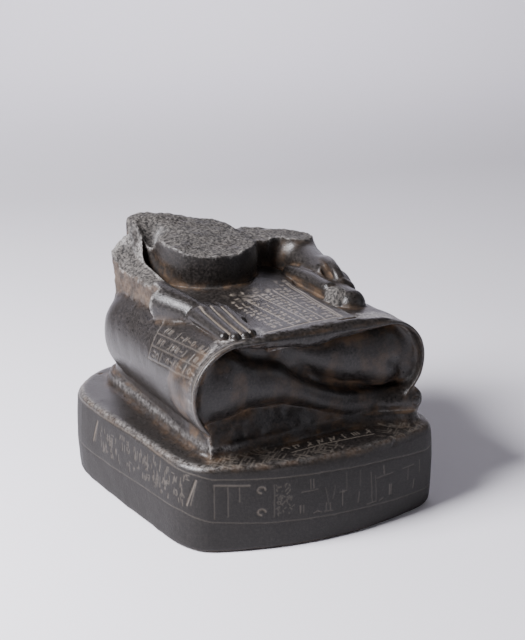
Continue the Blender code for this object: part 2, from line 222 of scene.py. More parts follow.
def tube(p, stations, axis, squash=(1.0, 1.0, 1.0)):
    """Limb that runs along one axis: its centre and its radius are smooth functions of the place on that
    axis, both ends are round, and squash above 1 flattens it in that direction."""
    path = smooth_path(stations)
    path = path[np.argsort(path[:, axis])]
    place = path[:, axis]
    lean = np.gradient(path, axis=0) / np.maximum(np.gradient(place), 1e-3)[:, None]
    lean = np.sqrt(1.0 + (np.delete(lean, axis, 1) ** 2).sum(1))
    radius = path[:, 3].max()

    def shape(q):
        s = np.clip(q[:, axis], place[0], place[-1])
        far = (q[:, axis] - s) ** 2
        for other in {0, 1, 2} - {axis}:
            far = far + (squash[other] * (q[:, other] - np.interp(s, place, path[:, other]))) ** 2
        off = (np.sqrt(far) - np.interp(s, place, path[:, 3])) / np.interp(s, place, lean)
        return off.astype(np.float32)
    return within(p, path[:, :3].min(0) - radius, path[:, :3].max(0) + radius, shape)


def lump(p, centre, radii):
    """Ellipsoid, with its distance estimated from the gradient."""
    radii = np.asarray(radii, np.float32)
    centre = np.asarray(centre, np.float32)

    def shape(q):
        q = q - centre
        k0 = np.linalg.norm(q / radii, axis=1)
        k1 = np.linalg.norm(q / (radii * radii), axis=1)
        return k0 * (k0 - 1.0) / np.maximum(k1, 1e-6)
    return within(p, centre - radii, centre + radii, shape)


def column(x, y, centre_x, centre_y, half_width, half_depth):
    """Endless upright column of elliptic section."""
    share = np.hypot((x - centre_x) / half_width, (y - centre_y) / half_depth)
    return (share - 1.0) * min(half_width, half_depth)


def segment(u, v, start, end):
    """Distance from a straight line in a plane, and the share of the line where it is nearest. Each
    value may be an array."""
    eu, ev = end[0] - start[0], end[1] - start[1]
    t = unit(((u - start[0]) * eu + (v - start[1]) * ev) / np.maximum(eu * eu + ev * ev, 1e-9))
    return np.hypot(u - start[0] - t * eu, v - start[1] - t * ev), t


def bilinear(table, u, v):
    """Reading of a table between its cells, at places in steps from its first one."""
    i, j = u.astype(int), v.astype(int)
    u, v = u - i, v - j
    return ((table[i, j] * (1 - u) + table[i + 1, j] * u) * (1 - v)
            + (table[i, j + 1] * (1 - u) + table[i + 1, j + 1] * u) * v)


class Plan:
    """A closed outline seen from above, kept as a fine table of distance and place along it."""
    STEP = 1.0
    LOW = np.array([-165.0, -165.0])
    COUNT = (331, 371)

    def __init__(self, outline, radii=None):
        a = np.asarray(outline, float)
        a = a[np.linalg.norm(a - np.roll(a, 1, 0), axis=1) > 1e-6]
        b = np.roll(a, -1, 0)
        ra = np.zeros(len(a)) if radii is None else np.asarray(radii, float)
        rb = np.roll(ra, -1)
        run = np.concatenate([[0.0], np.cumsum(np.linalg.norm(b - a, axis=1))])
        ticks = [self.LOW[i] + self.STEP * np.arange(self.COUNT[i]) for i in (0, 1)]
        x, y = np.meshgrid(*ticks, indexing="ij")
        best = np.full(x.shape, 1e9)
        self.along = np.zeros(x.shape)
        inside = np.zeros(x.shape, bool)
        for i in range(len(a)):
            off, t = segment(x, y, a[i], b[i])
            d = off - (ra[i] + (rb[i] - ra[i]) * t)
            self.along = np.where(d < best, run[i] + t * (run[i + 1] - run[i]), self.along)
            best = np.minimum(best, d)
            ex, ey = b[i] - a[i]
            if ey:
                crosses = (a[i, 1] > y) != (b[i, 1] > y)
                inside ^= crosses & (x < a[i, 0] + (y - a[i, 1]) / ey * ex)
        within_plan = -np.abs(best) if radii is None else np.minimum(best, -ra.min())
        self.far = np.where(inside, within_plan, best)
        self.length = run[-1]

    def look_up(self, table, x, y):
        """One of the tables at places of the plan, or at its rim for places beyond it."""
        u, v = [np.clip((value - self.LOW[i]) / self.STEP, 0, self.COUNT[i] - 1.001)
                for i, value in enumerate((x, y))]
        return bilinear(table, u, v)

    def distance(self, x, y):
        return self.look_up(self.far, x, y)

    def place_along(self, x, y):
        return self.look_up(self.along, x, y)


def arch(start, end, bow, steps=24):
    """Points of a shallow arch; bow is its rise towards the outside."""
    start, end = np.asarray(start, float), np.asarray(end, float)
    t = np.arange(steps + 1)[:, None] / steps
    out = np.array([end[1] - start[1], start[0] - end[0]]) / np.linalg.norm(end - start)
    return start + (end - start) * t + out * bow * (1 - (2 * t - 1) ** 2)


def corner_arc(side, following, radius, steps=8):
    """Quadratic arc that carries one side into the next, starting radius before their corner."""
    corner = side[-1]
    start = side[np.argmin(np.abs(np.linalg.norm(side - corner, axis=1) - radius))]
    end = following[np.argmin(np.abs(np.linalg.norm(following - corner, axis=1) - radius))]
    t = np.arange(steps + 1)[:, None] / steps
    return (1 - t) ** 2 * start + 2 * t * (1 - t) * corner + t**2 * end


CLEAR_OF_ROUND = 1.1


def plinth_outline():
    """Plan of the plinth in the figure's frame: four bowed sides with rounded corners."""
    half_width, half_depth = PLINTH_WIDTH / 2, PLINTH_DEPTH / 2
    front, back = PLINTH_FRONT_BOW - half_depth, half_depth - PLINTH_BACK_BOW
    corners = ((PLINTH_INSET - half_width, front + PLINTH_TURN / 2), (half_width, front - PLINTH_TURN / 2),
               (half_width, back), (-half_width, back))
    bows = (PLINTH_FRONT_BOW, PLINTH_SIDE_BOW, PLINTH_BACK_BOW, PLINTH_SIDE_BOW)
    rounds = (LEFT_CORNER_ROUND, BACK_CORNER_ROUND, BACK_CORNER_ROUND, RIGHT_CORNER_ROUND)
    sides = [arch(corners[i], corners[(i + 1) % 4], bows[i]) for i in range(4)]
    pieces = []
    for i, side in enumerate(sides):
        from_start = np.linalg.norm(side - side[0], axis=1) > CLEAR_OF_ROUND * rounds[i - 1]
        from_end = np.linalg.norm(side - side[-1], axis=1) > CLEAR_OF_ROUND * rounds[i]
        pieces += [side[from_start & from_end], corner_arc(side, sides[(i + 1) % 4], rounds[i])]
    points = np.concatenate(pieces)
    middle = (points.min(0) + points.max(0)) / 2
    size = points.max(0) - points.min(0)
    points = (points - middle) * np.array([PLINTH_WIDTH, PLINTH_DEPTH]) / size - np.array(FIGURE_ORIGIN[:2])
    behind = np.where(points[:, 1] > 0.0, np.abs(points[:, 0]), np.inf)
    return np.roll(points, -int(np.argmin(behind)), axis=0)


PLINTH_PLAN = Plan(plinth_outline())
MAT_PLAN = Plan([c[:2] for c in MAT_CORNERS], [c[2] for c in MAT_CORNERS])
FEET_PLAN = Plan([c[:2] for c in FEET_CORNERS], [c[2] for c in FEET_CORNERS])
SHEET_PLAN = Plan(SHEET_CORNERS)


# Carved lines and signs
def curve(middle, across, up, first, last, count):
    """Points of an arc of an ellipse."""
    return [(middle[0] + across * math.cos(a), middle[1] + up * math.sin(a))
            for a in np.linspace(first, last, count)]


# Marks that stand for signs, as lines through shares of a cell; the first also leans by chance
MARKS = ((((0.0, 0.5), (0.85, 0.5)),),
         (((0.4, 0.05), (0.45, 0.95)),),
         tuple(((u, 0.2), (u, 0.8)) for u in (0.15, 0.45, 0.75)),
         (((0.1, 0.25), (0.8, 0.25)), ((0.1, 0.75), (0.8, 0.75))),
         (curve((0.45, 0.5), 0.3, 0.3, 0.0, math.tau, 9),),
         (curve((0.45, 0.2), 0.4, 0.5, 0.1, math.pi - 0.1, 7),),
         (((0.1, 0.1), (0.3, 0.85), (0.55, 0.3), (0.85, 0.9)),),
         (((0.15, 0.1), (0.75, 0.6)), ((0.6, 0.1), (0.6, 0.9))),
         (((0.2, 0.1), (0.2, 0.8), (0.7, 0.8), (0.6, 0.35)),))


class Strokes:
    """A table of groove depths over a flat sheet of u and v, filled by short tapered cuts."""
    STEP = 0.4

    def __init__(self, low, high):
        self.low = np.asarray(low, float)
        self.size = np.ceil((np.asarray(high, float) - self.low) / self.STEP).astype(int) + 1
        self.depth = np.zeros(self.size, np.float32)

    def cut(self, start, end, width=1.0, depth=0.9):
        """One groove of V section between two places; width is from its middle to its edge."""
        start, end = np.asarray(start, float), np.asarray(end, float)
        first = ((np.minimum(start, end) - width - self.low) / self.STEP).astype(int)
        last = ((np.maximum(start, end) + width - self.low) / self.STEP).astype(int) + 2
        first, last = np.maximum(first, 0), np.minimum(last, self.size)
        if np.any(last <= first):
            return
        ticks = [self.low[i] + self.STEP * np.arange(first[i], last[i]) for i in (0, 1)]
        off, _ = segment(*np.meshgrid(*ticks, indexing="ij"), start, end)
        groove = depth * unit(1.0 - off / width)
        window = self.depth[first[0]:last[0], first[1]:last[1]]
        np.maximum(window, groove, out=window)

    def path(self, points, width=1.0, depth=0.9):
        for a, b in zip(points, points[1:]):
            self.cut(a, b, width, depth)

    def read(self, u, v):
        """Groove depth at many places; nothing outside the sheet."""
        a = (u - self.low[0]) / self.STEP
        b = (v - self.low[1]) / self.STEP
        ok = (a >= 0) & (b >= 0) & (a < self.size[0] - 1) & (b < self.size[1] - 1)
        return np.where(ok, bilinear(self.depth, np.where(ok, a, 0.0), np.where(ok, b, 0.0)), 0.0)

    def mark(self, rng, place, size, width, depth):
        """One meaningless mark chosen by chance, in a cell of the given size."""
        kind = rng.integers(0, len(MARKS))
        lean = rng.uniform(-0.1, 0.1) if kind == 0 else 0.0
        for line in MARKS[kind]:
            shares = np.array(line, float)
            shares[-1, 1] += lean
            self.path(np.asarray(place, float) + np.asarray(size, float) * shares, width, depth)


def thigh_at(y, knee, hip):
    """Station of a thigh at each place along it: every value goes straight from the knee's to the hip's."""
    t = unit((y - RIGHT_KNEE[1]) / (RIGHT_HIP[1] - RIGHT_KNEE[1]))
    return [a + (b - a) * t for a, b in zip(knee, hip)]


def thigh_place(p):
    """Place on the right thigh: y, and the arc from its outer side towards the top, both in millimetres."""
    middle = thigh_at(p[:, 1], RIGHT_KNEE, RIGHT_HIP)
    return p[:, 1], RIGHT_KNEE[3] * np.arctan2(p[:, 2] - middle[2], middle[0] - p[:, 0])


def side_at(x, y):
    """Place along the plinth's side nearest to a point of the plan."""
    return float(PLINTH_PLAN.place_along(np.array([x]), np.array([y]))[0])


# Strokes on the plinth's front: x and share of the band's height at each end, and depth
FRONT_STROKES = ((-11, 0.12, -11, 0.32, 0.6), (-8, 0.12, -8, 0.32, 0.6), (-20, 0.38, -4, 0.36, 0.5),
                 (-21, 0.68, -21, 0.86, 0.7), (-18, 0.68, -18, 0.86, 0.5), (-8, 0.9, -4, 0.86, 0.6),
                 (-4, 0.86, 0, 0.9, 0.6), (3, 0.9, 12, 0.9, 0.5), (5, 0.7, 5, 0.88, 0.5),
                 (9, 0.72, 9, 0.88, 0.5),
                 (19, 0.52, 26, 0.5, 0.5), (22, 0.48, 22, 0.83, 0.7), (40, 0.6, 39, 0.84, 0.7),
                 (53, 0.2, 55, 0.9, 0.5), (58, 0.3, 60, 0.9, 0.4), (49, 0.94, 60, 0.92, 0.6),
                 (64, 0.92, 68, 0.88, 0.6), (60, 0.37, 80, 0.33, 0.6), (68, 0.12, 69, 0.32, 0.7),
                 (76, 0.6, 76, 0.84, 0.8), (78, 0.6, 78, 0.84, 0.8), (92, 0.3, 108, 0.26, 0.5),
                 (100, 0.3, 100, 0.6, 0.5), (109, 0.64, 108, 0.86, 0.8), (117, 0.2, 117, 0.5, 0.6),
                 (4, 0.35, 8, 0.8, 0.3), (14, 0.34, 12, 0.62, 0.3), (26, 0.1, 26, 0.45, 0.3),
                 (41, 0.1, 41, 0.45, 0.3))


def plinth_sheet():
    """Band round the plinth between two lines: crowded signs on the figure's right side, from a tall blade
    at its back end to another at the front corner; a barred panel, two lone marks and scattered signs in
    front. Behind and on the far side only the lines run on."""
    rng = np.random.default_rng(11)
    sheet = Strokes((0.0, -PLINTH_HEIGHT), (PLINTH_PLAN.length, 0.0))
    blade_back, corner = side_at(-137.0, 64.0), side_at(-108.0, -102.0)
    front, far_end = side_at(-98.0, -110.0), side_at(124.0, -127.0)
    upper = ((0.0, -7.0), (blade_back, -5.0), (side_at(-125.0, -24.0), -3.0), (corner, -8.0),
             (front, -11.0), (side_at(-41.0, -130.0), -14.0), (side_at(4.0, -138.0), -15.0),
             (side_at(75.0, -138.0), -19.0), (far_end, -25.0), (PLINTH_PLAN.length, -7.0))
    lower = ((0.0, -52.0), (blade_back, -51.0), (side_at(-128.0, -30.0), -47.0),
             (side_at(-118.0, -88.0), -46.0), (front, -53.0), (side_at(-49.0, -129.0), -57.5),
             (side_at(4.0, -138.0), -59.5), (side_at(47.0, -140.0), -61.0), (far_end, -66.0),
             (PLINTH_PLAN.length, -52.0))
    sheet.path(upper, 0.8, 0.5)
    sheet.path(lower, 0.8, 0.45)
    for place, height in ((blade_back, 24.0), (corner - 3.0, 26.0)):
        sheet.path(((place + 1.0, -13.0), (place - 8.0, -13.0 - height)), 1.3, 1.1)
        sheet.path(((place + 2.0, -13.0), (place - 4.0, -12.0 - height)), 0.9, 0.6)
    for _ in range(120):
        place = rng.uniform((blade_back + 6.0, -42.0), (corner - 12.0, -15.0))
        size = rng.uniform((3.0, 3.5), (6.5, 9.0))
        if rng.random() < 0.5:
            sheet.cut(place, place + (rng.uniform(-1.0, 1.0), size[1]), 0.8, 0.6)
        else:
            sheet.mark(rng, place, size, 0.8, 0.55)
    bar = front + 2.0
    sheet.path(((bar, -16.5), (bar + 32.0, -18.5)), 1.4, 0.7)
    for step, low in ((0.0, -50.0), (12.5, -48.0), (23.0, -34.0)):
        sheet.cut((bar + step, -17.0), (bar + step, low), 0.8, 0.5)
    for low in (-24.0, -46.0):
        sheet.path(curve((bar + 43.0, low), 3.6, 3.0, 0.0, 4.6, 9), 1.4, 0.9)
    sheet.cut((bar + 55.0, -20.0), (bar + 55.0, -52.0), 0.8, 0.35)
    for place in rng.uniform((bar + 57.0, -52.0), (bar + 74.0, -20.0), (60, 2)):
        sheet.cut(place, place + rng.uniform(-2.2, 2.2, 2), 0.8, 0.5)
    for x0, share0, x1, share1, depth in FRONT_STROKES:
        ends = []
        for x, share in ((x0, share0), (x1, share1)):
            top = np.interp(x, (-41, 4, 75, 124), (-14, -15, -19, -25))
            foot = np.interp(x, (-49, 47, 124), (-57, -61, -66))
            ends.append((side_at(x, -139.0), top + share * (foot - top)))
        sheet.cut(*ends, 0.8, depth)
    return sheet


def thigh_sheet():
    """Panel on the right thigh: a ridge above, a line at its back end and rows of signs; then the kilt's
    double hem line close behind its front edge."""
    rng = np.random.default_rng(23)
    sheet = Strokes((-112.0, -50.0), (10.0, 80.0))
    sheet.path(((-2.0, 46.0), (-6.0, 28.0), (-8.0, 10.0)), 1.1, 0.6)
    for back_arc, front_arc in ((10.0, 19.0), (22.0, 31.0), (34.0, 44.0)):
        sheet.path(((-6.0, back_arc), (-96.0, front_arc)), 0.9, 0.5)
    for row in range(3):
        for step in range(12):
            if rng.random() < 0.85:
                y = -14.0 - 7.0 * step
                arc = 11.5 + 12.0 * row + 0.1 * (-6.0 - y)
                sheet.mark(rng, (y, arc), (-6.0, 8.5), 0.9, 0.7)
    turn = np.radians(np.linspace(-42.0, 100.0, 30)) * RIGHT_KNEE[3]
    edge = RIGHT_KNEE[1] + 4.6
    sheet.path([(edge + 0.5 * math.sin(0.09 * a), a) for a in turn], 1.0, 0.9)
    sheet.path([(edge + 2.6, a) for a in turn[12:22]], 0.8, 0.4)
    return sheet


def papyrus_sheet():
    """Open papyrus: a double line beside the roll, columns parted by lines and filled with small signs."""
    rng = np.random.default_rng(37)
    sheet = Strokes((-36.0, -100.0), (66.0, 36.0))
    for x_back, x_front in ((56.0, 52.0), (53.0, 49.0), (30.0, 34.0), (9.0, 17.0), (-8.0, 0.0)):
        sheet.path(((x_back, 28.0), (x_front, -86.0)), 0.9, 0.6)
    sheet.path(((-30.0, -89.0), (52.0, -85.0)), 1.0, 0.6)
    for start, width in ((32.5, 15.0), (12.0, 15.0), (-8.0, 15.0), (-26.0, 15.0)):
        for step in range(15):
            y = -82.0 + 7.2 * step
            across = start + 6.0 * (y - 28.0) / -114.0
            for half in (0.0, 0.5):
                if rng.random() < 0.92:
                    sheet.mark(rng, (across + half * width, y), (0.42 * width, 5.6), 0.85, 0.6)
    return sheet


def ledge_sheet():
    """Plinth's top in front of the shins: a row of signs over a line, and fine scratches round about."""
    rng = np.random.default_rng(41)
    sheet = Strokes((-110.0, -150.0), (140.0, -80.0))
    sheet.path(((-18.0, -114.5), (20.0, -112.5), (70.0, -117.0)), 1.0, 0.7)
    for step in range(8):
        sheet.mark(rng, (-24.0 + 12.5 * step, -109.5 - 0.6 * step), (9.5, 9.5), 1.0, 0.8)
    for count, low, high in ((70, (-100.0, -126.0), (-30.0, -98.0)), (26, (-30.0, -132.0), (30.0, -118.0)),
                             (46, (76.0, -136.0), (126.0, -112.0))):
        for place in rng.uniform(low, high, (count, 2)):
            run = rng.choice([-1.0, 1.0]) * rng.uniform(5.0, 12.0)
            sheet.cut(place, place + (run, 0.9 * abs(run)), 0.7, 0.35)
    return sheet


PLINTH_SHEET = plinth_sheet()
THIGH_SHEET = thigh_sheet()
PAPYRUS_SHEET = papyrus_sheet()
LEDGE_SHEET = ledge_sheet()


def plinth_field(p):
    """Plinth: the plan carried up with slightly swelling sides, worn edges, its band and its scratches."""
    x, y, z = p.T
    wear = noise(p, 34.0, 3)
    side = PLINTH_PLAN.distance(x, y) + 2.6 * ((z + 48.0) / 48.0) ** 2 - 0.6
    side = side + PLINTH_SHEET.read(PLINTH_PLAN.place_along(x, y), z)
    out = blend_max(side, z + LEDGE_SHEET.read(x, y), PLINTH_TOP_ROUND + 3.0 * wear)
    chips = ramp((noise(p, 7.0, 4) - 0.42) / 0.3) * ramp((noise(p, 26.0, 5) - 0.05) / 0.3)
    out = out + 0.9 * chips * ramp((z + 10.0) / 6.0) * (side > -12.0)
    return blend_max(out, -PLINTH_HEIGHT - z, PLINTH_FOOT_ROUND)


def kilt_form(p):
    """Thighs and lap: the section of two knees runs back into the section of two hips."""
    x, y, z = p.T
    right, left = thigh_at(y, RIGHT_KNEE, RIGHT_HIP), thigh_at(y, LEFT_KNEE, LEFT_HIP)
    off, share = segment(x, z, right[::2], left[::2])
    return np.hypot(off, np.maximum(y - RIGHT_HIP[1], 0.0)) - (right[3] + (left[3] - right[3]) * share)


def opening(p):
    """The space between the knees in front of the shins: shallow at each knee, deep between them."""
    x, y, z = p.T
    off, share = segment(x, z, RIGHT_KNEE[::2], LEFT_KNEE[::2])
    radius = RIGHT_KNEE[3] - RIM_THICKNESS + (LEFT_KNEE[3] - RIGHT_KNEE[3]) * share
    low = np.maximum(np.abs(x - 9.0) - 105.0, np.abs(z - 32.0) - 33.0)
    ends = (1.0 - ramp((x + 100.0) / 40.0) * ramp((126.0 - x) / 34.0)) * ramp((z - 26.0) / 14.0)
    floor = y - (RIGHT_KNEE[1] + RECESS_DEPTH + (KNEE_DEPTH - RECESS_DEPTH) * ends)
    return blend_max(blend_min(off - radius, low, 4.0), floor, 8.0)


def kilt_field(p):
    """The kilt's cloth: cut off straight in front of the knees, hollowed between them, with its signs."""
    carved = kilt_form(p) + THIGH_SHEET.read(*thigh_place(p)) * (p[:, 0] < -30.0)
    out = blend_max(carved, RIGHT_KNEE[1] - p[:, 1], 3.5)
    return blend_max(out, -opening(p), 2.5)


def seat_field(p):
    """Folded feet and the raised mat that follows them round."""
    x, y, z = p.T
    worn = 0.5 * noise(p, 6.0, 81) + 0.8 * noise(p, 19.0, 82)
    side = MAT_PLAN.distance(x, y) + 0.25 * (np.maximum(z, 0.0) - MAT_HEIGHT) + worn
    mat = blend_max(side, z - MAT_HEIGHT, 2.0)
    feet = blend_max(FEET_PLAN.distance(x, y), z - FEET_HEIGHT, 12.0)
    return np.maximum(blend_min(mat, feet, 3.0), -8.0 - z)


def shins_field(p):
    """Crossed shins and the rough slope left below them, with each kneecap's edge and the toe's nail."""
    right = blend_min(tube(p, RIGHT_SHIN, 0, SHIN_SQUASH), lump(p, *RIGHT_KNEECAP), 14.0)
    left = blend_min(tube(p, LEFT_SHIN, 0, SHIN_SQUASH), lump(p, *LEFT_KNEECAP), 12.0)
    out = blend_max(blend_min(right, left, 2.5), SHIN_FRONT - p[:, 1], 9.0)
    x, y, z = p.T
    knee = np.hypot(x + 87.0, z - 62.0)
    out = out + 0.5 * ramp((knee - 15.0) / 5.0) * ramp((36.0 - knee) / 12.0) * (y < -80.0)
    fold, _ = segment(x, z, *LEFT_KNEE_FOLD)
    out = out + 1.7 * ramp(1.0 - fold / 8.0) * (y < -70.0)
    top = np.interp(x, *np.transpose(APRON_FRONT)).astype(np.float32)
    worn = 0.8 * noise(p, 6.0, 91) + 1.2 * noise(p, 14.0, 92)
    slope_front = -(y + 93.5) + 0.40 * np.maximum(z - MAT_HEIGHT, 0.0)
    apron = np.maximum(blend_max(slope_front + worn, z - top, 7.0), np.abs(x + 6.0) - 84.0)
    apron = np.maximum(apron, y + 50.0)
    toe = blend_min(tube(p, TOE, 0), tube(p, SOLE, 1), 3.0)
    nail = np.hypot(x - TOENAIL[0], z - TOENAIL[1]) - TOENAIL[2]
    toe = toe + 0.9 * unit(1.0 - np.abs(nail)) * (y < -104.0)
    return blend_min(blend_min(out, toe, 6.0), apron, 2.0)


def trunk_field(p):
    """Waist, the kilt's slope round it up to a fold, and the stone left between the waist and both arms."""
    x, y, z = p.T
    cx, cy, half_width, half_depth = WAIST
    swell = np.sin(unit((z - FOLD_HEIGHT) / 34.0) * math.pi)
    out = column(x, y, cx, cy, half_width, half_depth) - 1.2 * swell
    webs = [np.hypot(x - web_x, y - web_y) - radius for web_x, web_y, radius in ARM_WEBS]
    out = blend_min(out, np.minimum(*webs), 18.0)
    beyond = np.maximum(column(x, y, cx, cy - 8, half_width + 1, half_depth - 7), 0.0)
    slope_top = z - FOLD_HEIGHT + 0.24 * beyond + 0.5 * noise(p, 16.0, 95)
    belt = np.maximum(slope_top, column(x, y, cx, cy - 25, half_width + 27, half_depth + 8))
    out = blend_min(out, belt, 1.0)
    return blend_max(out, 34.0 - z, 5.0)


def upper_arm(p, low, high, centre, radius):
    """Upright round arm inside its box; the break cuts it off above the elbow."""
    return within(p, low, high, lambda q: np.hypot(q[:, 0] - centre[0], q[:, 1] - centre[1]) - radius)


def right_arm_field(p):
    """Right arm: forearm whole, elbow sheared off at its outer side, a stump of the upper arm."""
    x, y, z = p.T
    upper = blend_max(upper_arm(p, *RIGHT_UPPER_ARM), 92.0 - z, 6.0)
    out = blend_min(tube(p, RIGHT_FOREARM, 1), upper, 10.0)
    return np.maximum(out, np.minimum(-elbow_shear(p), y - STUMP_FRONT + 1.2 * noise(p, 8.0, 23)))


def elbow_shear(p):
    """Below zero outside the rough face where the elbow's outer side broke off."""
    x, y, z = p.T
    grain = 0.8 * noise(p, 4.0, 21) + 0.9 * noise(p, 9.0, 22) + 0.7 * noise(p, 17.0, 24)
    return 0.998 * (x + 87.0) + 0.031 * (y - 26.0) + 0.055 * (z - 101.5) + grain


def left_arm_field(p):
    """Left arm: forearm whole, a stump of the upper arm."""
    upper = blend_max(upper_arm(p, *LEFT_UPPER_ARM), 110.0 - p[:, 2], 6.0)
    return blend_min(tube(p, LEFT_FOREARM, 1), upper, 12.0)


def right_hand_field(p):
    """Flat hand: its back runs from the wrist into four long fingers parted by cut lines."""
    x, y, z = p.T
    out = lump(p, *PALM)
    for (knuckle, radius), (tip_x, tip_y) in zip(KNUCKLES, FINGERTIPS):
        stations = ((knuckle, KNUCKLE_Y, KNUCKLE_Z, radius), (tip_x, tip_y, TIP_Z, TIP_RADIUS))
        out = blend_min(out, tube(p, stations, 1), 1.2)
    out = blend_min(out, tube(p, RIGHT_THUMB, 1), 1.6)
    return out + finger_lines(x, y) * (z > 112.0)


def finger_lines(x, y):
    """Depth of the lines between the fingers."""
    depth = 0.0
    for start, end in FINGER_GAPS:
        gap, _ = segment(x, y, start, end)
        depth = np.maximum(depth, GAP_DEPTH * unit(1.0 - gap / GAP_REACH))
    return depth


def left_hand_field(p):
    """Fist round the rolled end, a finger arched over it, and the thumb along it with its tip broken."""
    out = blend_min(tube(p, LEFT_FIST, 1), tube(p, ROLL, 1), 2.0)
    out = blend_max(out, -lump(p, *HOLLOW), 2.0)
    out = blend_min(out, tube(p, LEFT_THUMB, 1), 1.5)
    out = blend_min(out, tube(p, FINGER_ARCH, 1), 2.5)
    rough = 0.6 * noise(p, 3.0, 51) + 0.9 * noise(p, 7.0, 52)
    return blend_min(out, lump(p, *CHIPPED) + rough, 1.0)


def sheet_field(p):
    """The open papyrus lies on the lap as a low flat step."""
    x, y, z = p.T
    top = z - SHEET_TOP + SHEET_DROOP * (x - SHEET_MIDDLE) ** 2 + PAPYRUS_SHEET.read(x, y)
    return np.maximum(blend_max(SHEET_PLAN.distance(x, y), top, 1.5), SHEET_FOOT - z)


def break_height(x, y):
    """Height of the broken top: high at the back right, stepped down over both arms, with a dip behind
    the right armpit."""
    back = np.clip((y - 35.0) / 85.0, -0.2, 0.95)
    turn = ramp((x + 45.0) / 90.0)
    main = BREAK_FRONT + back * (BREAK_RISE_RIGHT * (1 - turn) + BREAK_RISE_LEFT * turn)
    step = ramp((x - 28.0) / 22.0)
    main = main * (1 - step) + LEFT_ARM_BREAK * step - 0.15 * np.maximum(x - 80.0, 0.0)
    arm = ramp((-66.0 - x) / 8.0)
    stump = RIGHT_ARM_BREAK + np.maximum(x + 89.0, 0.0) * (0.2 + 0.013 * np.maximum(y - 50.0, 0.0))
    stump = stump + 18.0 * ramp((y - 98.0) / 20.0) + 9.0 * ramp((35.0 - y) / 12.0)
    dip = ARMPIT_DIP * np.exp(-((x + 58.0) / 12.0) ** 2 - ((y - 94.0) / 13.0) ** 2)
    return main * (1 - arm) + stump * arm - dip


def break_field(p):
    """Below zero above the break's rough surface."""
    x, y, z = p.T
    grain = 0.6 * noise(p, 3.0, 31) + 0.9 * noise(p, 7.0, 32) + 1.3 * noise(p, 24.0, 33)
    return break_height(x, y) + grain - z


def stone_field(p):
    """The whole statue: plinth, seat, kilt, shins, trunk, arms and hands, less the break."""
    p = p.astype(np.float32)
    x, y, z = p.T
    body = blend_min(kilt_field(p), seat_field(p), 2.5)
    pits = (0.5 * noise(p, 5.0, 61) + 0.35 * noise(p, 2.4, 62)) * (y < -90.0)
    body = blend_min(body, shins_field(p), 5.0)
    body = blend_min(body, tube(p, HEM_LINE, 0) + pits, 2.0)
    top = blend_min(trunk_field(p), left_arm_field(p), 9.0)
    top = blend_min(top, right_arm_field(p), 3.0)
    top = blend_max(top, -break_field(p), 0.8)
    body = blend_min(body, top, 6.0)
    body = blend_min(body, sheet_field(p), 1.0)
    body = blend_min(body, blend_min(right_hand_field(p), left_hand_field(p), 2.0), 2.0)
    swell = 0.35 * noise(p, 21.0, 71) + 0.2 * noise(p, 8.0, 72)
    return blend_min(plinth_field(p), body, 5.0) + swell


# Surface
GRID = 0.9
BAND_GRID = 3.0
NEAR_SURFACE = 2.2
FLAT_BELOW = 0.3
TRIANGLES = 194000
FIELD_LOW = (-146.0, -166.0, -90.0)
FIELD_HIGH = (146.0, 186.0, 176.0)
BLOCK = 400000


def in_blocks(field, p):
    """Field values of many points, a block at a time so that memory stays small."""
    return np.concatenate([field(p[i:i + BLOCK]) for i in range(0, len(p), BLOCK)])


def sample(field, step):
    """Field on a fine grid: read exactly near the surface and interpolated from a coarse grid elsewhere."""
    coarse = [np.arange(low, high + BAND_GRID, BAND_GRID) for low, high in zip(FIELD_LOW, FIELD_HIGH)]
    points = np.stack(np.meshgrid(*coarse, indexing="ij"), -1).reshape(-1, 3).astype(np.float32)
    values = in_blocks(field, points).reshape([len(a) for a in coarse])
    axes = [np.arange(a[0], a[-1] - 0.01, step) for a in coarse]
    for axis, (old, new) in enumerate(zip(coarse, axes)):
        place = (new - old[0]) / BAND_GRID
        low = np.minimum(place.astype(int), len(old) - 2)
        shape = [1, 1, 1]
        shape[axis] = len(new)
        part = (place - low).reshape(shape).astype(np.float32)
        values = np.take(values, low, axis) * (1 - part) + np.take(values, low + 1, axis) * part
    near = np.nonzero(np.abs(values) < NEAR_SURFACE + step)
    points = np.stack([axes[i][near[i]] for i in range(3)], 1).astype(np.float32)
    values[near] = in_blocks(field, points)
    return values, axes


